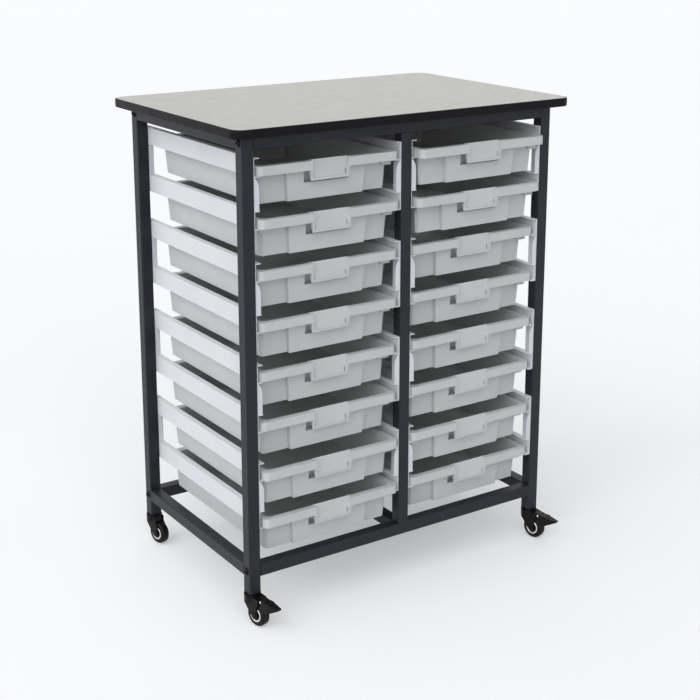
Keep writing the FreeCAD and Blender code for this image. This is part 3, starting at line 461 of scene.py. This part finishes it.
# %% Runners
SHEET = 1.5 * MM
SHEET_EDGE = 0.35 * MM
TAB_WIDTH = 11 * MM
TAB_CORNER = 4 * MM
TAB_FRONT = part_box("leg_rear_left")[0].y
TRAY_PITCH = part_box("tray_left_1")[1].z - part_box("tray_left_2")[1].z
LEG_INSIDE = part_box("leg_front_right")[0].x
UPRIGHT_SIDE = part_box("upright_rear")[1].x
WEB_PLANES = {-LEG_INSIDE: 1, LEG_INSIDE: -1, -UPRIGHT_SIDE: -1, UPRIGHT_SIDE: 1}


def add_rear_tab(shape, plane, inward, low, high):
    """A plate beside a rear tube, level with its front face."""
    outline = [
        (0, low), (TAB_WIDTH, low), (TAB_WIDTH, high - TAB_CORNER),
        (TAB_WIDTH - TAB_CORNER, high), (0, high),
    ]
    front, rear = [
        [shape.verts.new((plane + inward * reach, depth, height)) for reach, height in outline]
        for depth in (TAB_FRONT, TAB_FRONT + SHEET)
    ]
    faces = [shape.faces.new(side) for side in (front, rear)]
    for a, b in neighbours(len(outline)):
        faces.append(shape.faces.new((front[a], front[b], rear[b], rear[a])))
    bmesh.ops.recalc_face_normals(shape, faces=faces)


def dress_runner(node):
    shape = merged_copy(node)
    low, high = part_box(node)
    channel = high.z - low.z - TRAY_PITCH
    for plane, inward in WEB_PLANES.items():
        if low.x - SHEET < plane < high.x + SHEET:
            add_rear_tab(shape, plane, inward, low.z + channel, high.z - channel)
    soften(stand_in(node, shape), SHEET_EDGE)


RUNNERS = [node for node in frame["nodes"] if node.startswith("runner_")]
for runner in RUNNERS:
    dress_runner(runner)
print(len(RUNNERS), "runner brackets")

# %% [markdown]
# ## Trays
# All sixteen trays come from one mould. The plastic is 2.2 mm thick and its edges are well
# rounded, so a bevel of a millimetre in three rounds gives the soft highlight along each rim.
# The floor of the finger recess is brought up close under the lip. Only eight points of the mesh
# lie that deep below the rim, so they are found by their height. The front four follow the slope
# of the panel as they rise.

# %% Trays
TRAY_EDGE, TRAY_ROUNDS = 1.0 * MM, 3
RIM_STEP = 1 * MM
RECESS_DEPTHS = 48 * MM, 52 * MM
RECESS_RISE = 6 * MM
RECESS_MIDDLE = 25 * MM
PANEL_SLOPE = math.tan(math.radians(4.5))


def raise_recess_floor(piece, node):
    low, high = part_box(node)
    shallow, deep = RECESS_DEPTHS
    for point in piece.data.vertices:
        if shallow < high.z - RIM_STEP - point.co.z < deep:
            point.co.z += RECESS_RISE
            if point.co.y < low.y + RECESS_MIDDLE:
                point.co.y -= RECESS_RISE * PANEL_SLOPE


TRAYS = [node for node in frame["nodes"] if node.startswith("tray_")]
for tray in TRAYS:
    raise_recess_floor(dress(tray, TRAY_EDGE, TRAY_ROUNDS), tray)
print(len(TRAYS), "trays")

# %% [markdown]
# ## Bolts and screws from one node tree
# Eight button bolts clamp the frame and six screws hold the top. They share one shape: a domed
# head with a socket, and a shank. A Geometry Nodes tree builds that shape from sizes that come in
# as named inputs, sets it on the points of a small mesh, and turns it to face the direction that
# each point carries. The result becomes a plain mesh, so nothing depends on the tree afterwards.

# %% The fastener tree
HEAD_SEGMENTS, HEAD_RINGS, SHANK_SEGMENTS = 40, 24, 24
CUTTER = 0.1


def tree_node(tree, kind, settings=None, **sockets):
    """A geometry node. A socket takes a value, or a link from another node's socket."""
    node = tree.nodes.new(kind)
    for name, value in (settings or {}).items():
        setattr(node, name, value)
    for name, value in sockets.items():
        socket = node.inputs[name.replace("_", " ")]
        if isinstance(value, bpy.types.NodeSocket):
            tree.links.new(value, socket)
        else:
            socket.default_value = value
    return node


def fastener_tree():
    """Cuts a ball to a dome with a socket, adds a shank, and sets both on every point."""
    tree = bpy.data.node_groups.new("fasteners", "GeometryNodeTree")
    face = tree.interface
    face.new_socket("Seats", in_out="INPUT", socket_type="NodeSocketGeometry")
    for name in ("Head Radius", "Head Height", "Socket Radius", "Shank Radius", "Shank Length"):
        face.new_socket(name, in_out="INPUT", socket_type="NodeSocketFloat")
    face.new_socket("Socket Sides", in_out="INPUT", socket_type="NodeSocketInt")
    face.new_socket("Finish", in_out="INPUT", socket_type="NodeSocketMaterial")
    face.new_socket("Fasteners", in_out="OUTPUT", socket_type="NodeSocketGeometry")
    given = tree.nodes.new("NodeGroupInput").outputs
    radius, height = given["Head Radius"], given["Head Height"]

    dome_size = tree_node(tree, "ShaderNodeCombineXYZ", X=radius, Y=radius, Z=height).outputs[0]
    ball = tree_node(
        tree, "GeometryNodeMeshUVSphere", Segments=HEAD_SEGMENTS, Rings=HEAD_RINGS, Radius=1.0
    ).outputs["Mesh"]
    dome = tree_node(tree, "GeometryNodeTransform", Geometry=ball, Scale=dome_size).outputs[0]
    low_half = tree_node(tree, "GeometryNodeMeshCube", Size=(CUTTER,) * 3).outputs["Mesh"]
    low_half = tree_node(
        tree, "GeometryNodeTransform", Geometry=low_half, Translation=(0, 0, -CUTTER / 2)
    ).outputs[0]
    socket = tree_node(
        tree, "GeometryNodeMeshCylinder",
        Vertices=given["Socket Sides"], Radius=given["Socket Radius"], Depth=height,
    ).outputs["Mesh"]
    top = tree_node(tree, "ShaderNodeCombineXYZ", Z=height).outputs[0]
    socket = tree_node(tree, "GeometryNodeTransform", Geometry=socket, Translation=top).outputs[0]
    head = tree.nodes.new("GeometryNodeMeshBoolean")
    head.operation = "DIFFERENCE"
    head.solver = "EXACT"
    tree.links.new(dome, head.inputs["Mesh 1"])
    tree.links.new(low_half, head.inputs["Mesh 2"])
    tree.links.new(socket, head.inputs["Mesh 2"])

    length = given["Shank Length"]
    shank = tree_node(
        tree, "GeometryNodeMeshCylinder",
        Vertices=SHANK_SEGMENTS, Radius=given["Shank Radius"], Depth=length,
    ).outputs["Mesh"]
    half = tree_node(tree, "ShaderNodeMath", {"operation": "MULTIPLY"})
    tree.links.new(length, half.inputs[0])
    half.inputs[1].default_value = -0.5
    down = tree_node(tree, "ShaderNodeCombineXYZ", Z=half.outputs[0]).outputs[0]
    shank = tree_node(tree, "GeometryNodeTransform", Geometry=shank, Translation=down).outputs[0]
    whole = tree.nodes.new("GeometryNodeJoinGeometry")
    for part in (head.outputs["Mesh"], shank):
        tree.links.new(part, whole.inputs["Geometry"])

    facing = tree_node(
        tree, "GeometryNodeInputNamedAttribute", {"data_type": "FLOAT_VECTOR"}, Name="facing"
    )
    turn = tree_node(
        tree, "FunctionNodeAlignRotationToVector", {"axis": "Z"}, Vector=facing.outputs["Attribute"]
    ).outputs["Rotation"]
    placed = tree_node(
        tree, "GeometryNodeInstanceOnPoints",
        Points=given["Seats"], Instance=whole.outputs[0], Rotation=turn,
    ).outputs[0]
    real = tree_node(tree, "GeometryNodeRealizeInstances", Geometry=placed).outputs[0]
    finished = tree_node(
        tree, "GeometryNodeSetMaterial", Geometry=real, Material=given["Finish"]
    ).outputs[0]
    tree.links.new(finished, tree.nodes.new("NodeGroupOutput").inputs["Fasteners"])
    return tree


FASTENERS = fastener_tree()
print(FASTENERS.name, "tree with", len(FASTENERS.nodes), "nodes")

# %% [markdown]
# ## Where the fasteners sit
# The solids of the bolts and screws are one loose group, so their places are read from it: each
# island of joined faces is one fastener. Its head is the end that is wider than the shank, and
# that end gives both the seat and the direction.

# %% Set the fasteners
BOLT_STAND = 3 * MM
SCREW_STAND = 2.5 * MM
BOLT_SIZES = {
    "Head Radius": 8 * MM, "Head Height": 4.4 * MM, "Socket Radius": 2.6 * MM,
    "Socket Sides": 6, "Shank Radius": 3 * MM, "Shank Length": 18 * MM,
}
SCREW_SIZES = {
    "Head Radius": 4.5 * MM, "Head Height": SCREW_STAND, "Socket Radius": 1.6 * MM,
    "Socket Sides": 4, "Shank Radius": 2.2 * MM, "Shank Length": 37 * MM,
}
HEAD_MERGE = 0.01 * MM


def islands(node):
    """The box of each loose solid in a node, as its lowest and highest corner."""
    shape = merged_copy(node)
    left = set(shape.verts)
    boxes = []
    while left:
        found, edge_of_search = set(), {left.pop()}
        while edge_of_search:
            point = edge_of_search.pop()
            found.add(point)
            edge_of_search |= {edge.other_vert(point) for edge in point.link_edges} - found
        left -= found
        places = [point.co for point in found]
        boxes.append([
            Vector(pick(place[axis] for place in places) for axis in range(3))
            for pick in (min, max)
        ])
    shape.free()
    return boxes


def set_fasteners(name, seats, finish, slot, node, sizes):
    """One piece with a fastener on each seat: a place and the direction that the head faces."""
    mesh = bpy.data.meshes.new(name)
    mesh.from_pydata([place for place, way in seats], [], [])
    facing = mesh.attributes.new("facing", "FLOAT_VECTOR", "POINT")
    facing.data.foreach_set("vector", [part for place, way in seats for part in way])
    maker = bpy.data.objects.new(f"{name}_maker", mesh)
    bpy.context.scene.collection.objects.link(maker)
    modifier = maker.modifiers.new("fasteners", "NODES")
    modifier.node_group = FASTENERS
    for socket in FASTENERS.interface.items_tree:
        if socket.item_type == "SOCKET" and socket.in_out == "INPUT" and socket.name in sizes:
            modifier[socket.identifier] = sizes[socket.name]
        elif socket.name == "Finish":
            modifier[socket.identifier] = finish
    evaluated = maker.evaluated_get(bpy.context.evaluated_depsgraph_get())
    made = bpy.data.meshes.new_from_object(evaluated)
    bpy.data.objects.remove(maker)
    shape = bmesh.new()
    shape.from_mesh(made)
    bmesh.ops.remove_doubles(shape, verts=shape.verts[:], dist=HEAD_MERGE)
    piece = new_piece(name, shape, finish, "frame", slot, node)
    piece.data.set_sharp_from_angle(angle=SMOOTH_ANGLE)


bolt_seats = []
for low, high in islands("frame_bolts"):
    side = 1 if low.x + high.x > 0 else -1
    outer = high.x if side > 0 else low.x
    seat = (outer - side * BOLT_STAND, (low.y + high.y) / 2, (low.z + high.z) / 2)
    bolt_seats.append((Vector(seat), (side, 0, 0)))
screw_seats = [
    (Vector(((low.x + high.x) / 2, (low.y + high.y) / 2, low.z + SCREW_STAND)), (0, 0, -1))
    for low, high in islands("table_screws")
]
set_fasteners(
    "frame_button_bolts", bolt_seats, BLACK_STEEL, "black_steel", "frame_bolts", BOLT_SIZES
)
set_fasteners(
    "table_pan_screws", screw_seats, ZINC_STEEL, "zinc_steel", "table_screws", SCREW_SIZES
)
print(len(bolt_seats), "bolts and", len(screw_seats), "screws")

# %% [markdown]
# ## Castors
# The fork, wheel, socket and pedal are moulded in black nylon. A moulding has no knife edges, and
# on something this dark the soft edge is nearly all that shows its form, so the bevels are about
# half a millimetre wide.

# %% Castor mouldings
CASTOR_EDGE, CASTOR_ROUNDS = 0.5 * MM, 3
SOCKET_EDGE = 0.4 * MM
for corner in CORNERS:
    dress(f"castor_fork_{corner}", CASTOR_EDGE, CASTOR_ROUNDS)
    dress(f"castor_wheel_{corner}", CASTOR_EDGE, CASTOR_ROUNDS)
dress("castor_sockets", SOCKET_EDGE)
for side in SIDES:
    dress(f"brake_pedal_{side}", CASTOR_EDGE, CASTOR_ROUNDS)
print("four castors dressed")

# %% [markdown]
# ## Bright parts of the castors
# A plated ring lies on each outer face of a wheel's hub, and each brake pedal turns on a rivet
# with domed bright heads. Both are lathe work: a short outline turned about an axis. They are
# drawn in the castor's own frame, with the swivel axis on Z, and then turned with the castor.

# %% Rings and rivets
CASTOR_TURN = math.radians(13)
AXLE = Vector((0, -17, -42)) * MM
PEDAL_RIVET = Vector((0, -30.5, -10.5)) * MM
RING_INNER, RING_OUTER = 11 * MM, 14.6 * MM
RING_SEAT, RING_RISE, RING_SHOULDER = 6.9 * MM, 2.6 * MM, 0.4 * MM
RIVET_RADIUS = 2.9 * MM
RIVET_SEAT, RIVET_RISE = 8.9 * MM, 0.8 * MM
RIVET_TURNS = (0, 0.4, 0.8, 1.2, math.pi / 2)
LATHE_STEPS = 48
LATHE_MERGE = 0.001 * MM


def lathe(outline, middle):
    """Turns a closed outline of (along, out) pairs about an axis along X through a point."""
    shape = bmesh.new()
    rings = []
    for step in range(LATHE_STEPS):
        turn = 2 * math.pi * step / LATHE_STEPS
        spoke = Vector((0, math.cos(turn), math.sin(turn)))
        rings.append([
            shape.verts.new(middle + Vector((along, 0, 0)) + spoke * out)
            for along, out in outline
        ])
    bridge(shape, rings)
    bmesh.ops.remove_doubles(shape, verts=shape.verts[:], dist=LATHE_MERGE)
    bmesh.ops.recalc_face_normals(shape, faces=shape.faces[:])
    return shape


def joined(*shapes):
    """One bmesh from several."""
    whole = bmesh.new()
    for shape in shapes:
        mesh = bpy.data.meshes.new("part")
        shape.to_mesh(mesh)
        whole.from_mesh(mesh)
        shape.free()
        bpy.data.meshes.remove(mesh)
    return whole


def castor_frame(corner):
    """From the castor's own frame to the unit's."""
    low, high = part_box(f"leg_{corner}")
    place = Vector(((low.x + high.x) / 2, (low.y + high.y) / 2, low.z))
    return Matrix.Translation(place) @ Matrix.Rotation(CASTOR_TURN, 4, "Z")


def ring_outline(way):
    """A flat ring with cut shoulders that stands proud of its seat."""
    top = RING_SEAT + RING_RISE
    shoulder = top - RING_SHOULDER
    return [
        (way * RING_SEAT, RING_INNER), (way * shoulder, RING_INNER),
        (way * top, RING_INNER + RING_SHOULDER), (way * top, RING_OUTER - RING_SHOULDER),
        (way * shoulder, RING_OUTER), (way * RING_SEAT, RING_OUTER),
    ]


def dome_outline(way):
    """Half of a flat dome, from its foot to its middle."""
    return [
        (way * RIVET_SEAT, 0),
        *(
            (way * (RIVET_SEAT + RIVET_RISE * math.sin(turn)), RIVET_RADIUS * math.cos(turn))
            for turn in RIVET_TURNS
        ),
    ]


for corner in CORNERS:
    rings = joined(*(lathe(ring_outline(way), AXLE) for way in (-1, 1)))
    rings.transform(castor_frame(corner))
    new_piece(f"hub_rings_{corner}", rings, BRIGHT_STEEL, f"wheel_{corner}", "zinc_steel")
for side in SIDES:
    heads = joined(*(lathe(dome_outline(way), PEDAL_RIVET) for way in (-1, 1)))
    heads.transform(castor_frame(f"front_{side}"))
    new_piece(f"pedal_rivet_{side}", heads, BRIGHT_STEEL, f"pedal_{side}", "zinc_steel")
print("rings on", len(CORNERS), "wheels and rivets on", len(SIDES), "pedals")

# %% [markdown]
# ## Studio
# The unit stands on a plain pale floor that runs out of sight. A broad lamp overhead gives the
# soft shadow below it. One from the left lights the sides of the trays, a weaker one opens their
# fronts, and one from the left rear glances off the tubes. A pale world fills in.
# The floor and the world are brighter to the camera than to the object: Light Path lets them be
# a white background without adding light.

# %% Floor, lamps and world
FLOOR_HALF_WIDTH = 40
FLOOR_LIFT = 0.3
FLOOR_GLOW = (0.98, 0.99, 1, 1)
WORLD_COLOUR = (0.985, 0.99, 1, 1)
WORLD_SEEN, WORLD_GIVEN = 0.92, 0.22
LAMPS = (
    ("overhead softbox", 0.95, 90, (0.1, -0.1, -1)),
    ("left softbox", 1.4, 60, (0.85, 0.2, -0.5)),
    ("front fill", 0.95, 50, (0.3, 0.8, -0.55)),
    ("rear rim", 0.4, 60, (0.6, -0.75, -0.1)),
)


def seen_by_rays(tree):
    """1 for camera, glossy and transmission rays and 0 for rays that carry light."""
    path = tree.nodes.new("ShaderNodeLightPath")
    total = path.outputs["Is Camera Ray"]
    for name in ("Is Glossy Ray", "Is Transmission Ray"):
        most = tree.nodes.new("ShaderNodeMath")
        most.operation = "MAXIMUM"
        tree.links.new(total, most.inputs[0])
        tree.links.new(path.outputs[name], most.inputs[1])
        total = most.outputs[0]
    return total


def pale_floor_finish():
    """A pale floor that looks brighter by a fixed lift, which lights nothing."""
    finish = start_finish("pale studio floor", screen(219, 220, 222), 0.9, specular=0.1)
    add_mottle(finish, 900 * MM, screen(218, 219, 221))
    add_grain(finish, 3 * MM, 0.01 * MM)
    shader = principled(finish)
    shader.inputs["Emission Color"].default_value = FLOOR_GLOW
    amount = add_node(finish, "ShaderNodeMapRange", To_Max=FLOOR_LIFT)
    join(finish, seen_by_rays(finish.node_tree), amount.inputs["Value"])
    join(finish, amount.outputs["Result"], shader.inputs["Emission Strength"])
    return finish


def add_floor():
    shape = bmesh.new()
    bmesh.ops.create_grid(shape, x_segments=4, y_segments=4, size=FLOOR_HALF_WIDTH)
    mesh = bpy.data.meshes.new("studio_floor")
    shape.to_mesh(mesh)
    shape.free()
    mesh.materials.append(pale_floor_finish())
    floor = bpy.data.objects.new("studio_floor", mesh)
    bpy.context.scene.collection.objects.link(floor)


def add_sun(name, strength, softness, towards):
    """A far lamp. Towards is the direction in which its light travels."""
    data = bpy.data.lights.new(name, "SUN")
    data.energy = strength
    data.angle = math.radians(softness)
    lamp = bpy.data.objects.new(name, data)
    lamp.rotation_mode = "QUATERNION"
    lamp.rotation_quaternion = Vector(towards).to_track_quat("-Z", "Y")
    bpy.context.scene.collection.objects.link(lamp)


def light_world():
    """A world that the camera and reflections see at one level and that lights at another."""
    world = bpy.data.worlds.new("studio")
    world.use_nodes = True
    nodes, links = world.node_tree.nodes, world.node_tree.links
    background = nodes["Background"]
    level = nodes.new("ShaderNodeMapRange")
    level.inputs["To Min"].default_value = WORLD_GIVEN
    level.inputs["To Max"].default_value = WORLD_SEEN
    links.new(seen_by_rays(world.node_tree), level.inputs["Value"])
    links.new(level.outputs["Result"], background.inputs["Strength"])
    background.inputs["Color"].default_value = WORLD_COLOUR
    bpy.context.scene.world = world


add_floor()
light_world()
for lamp in LAMPS:
    add_sun(*lamp)
print("a floor,", len(LAMPS), "lamps and a world")

# %% [markdown]
# ## Camera
# A long lens from the front left, a little above the top. The small vertical shift keeps the
# legs nearly upright in the picture, as a view camera does.

# %% Camera
CAMERA_PLACE = Vector((-1.5701, -2.374, 1.3762))
CAMERA_LOOK = Vector((0.53737, 0.80726, -0.24404))
LENS = 71.41
SENSOR_WIDTH = 36
SHIFT_DOWN = -0.14
SIGHT = 200


def add_camera():
    data = bpy.data.cameras.new("camera")
    data.sensor_width = SENSOR_WIDTH
    data.lens = LENS
    data.shift_y = SHIFT_DOWN
    data.clip_end = SIGHT
    camera = bpy.data.objects.new("camera", data)
    camera.location = CAMERA_PLACE
    camera.rotation_mode = "QUATERNION"
    camera.rotation_quaternion = CAMERA_LOOK.to_track_quat("-Z", "Y")
    bpy.context.scene.collection.objects.link(camera)
    bpy.context.scene.camera = camera


add_camera()
bpy.context.scene.view_settings.view_transform = "Standard"
print("camera", [round(part, 2) for part in CAMERA_PLACE])
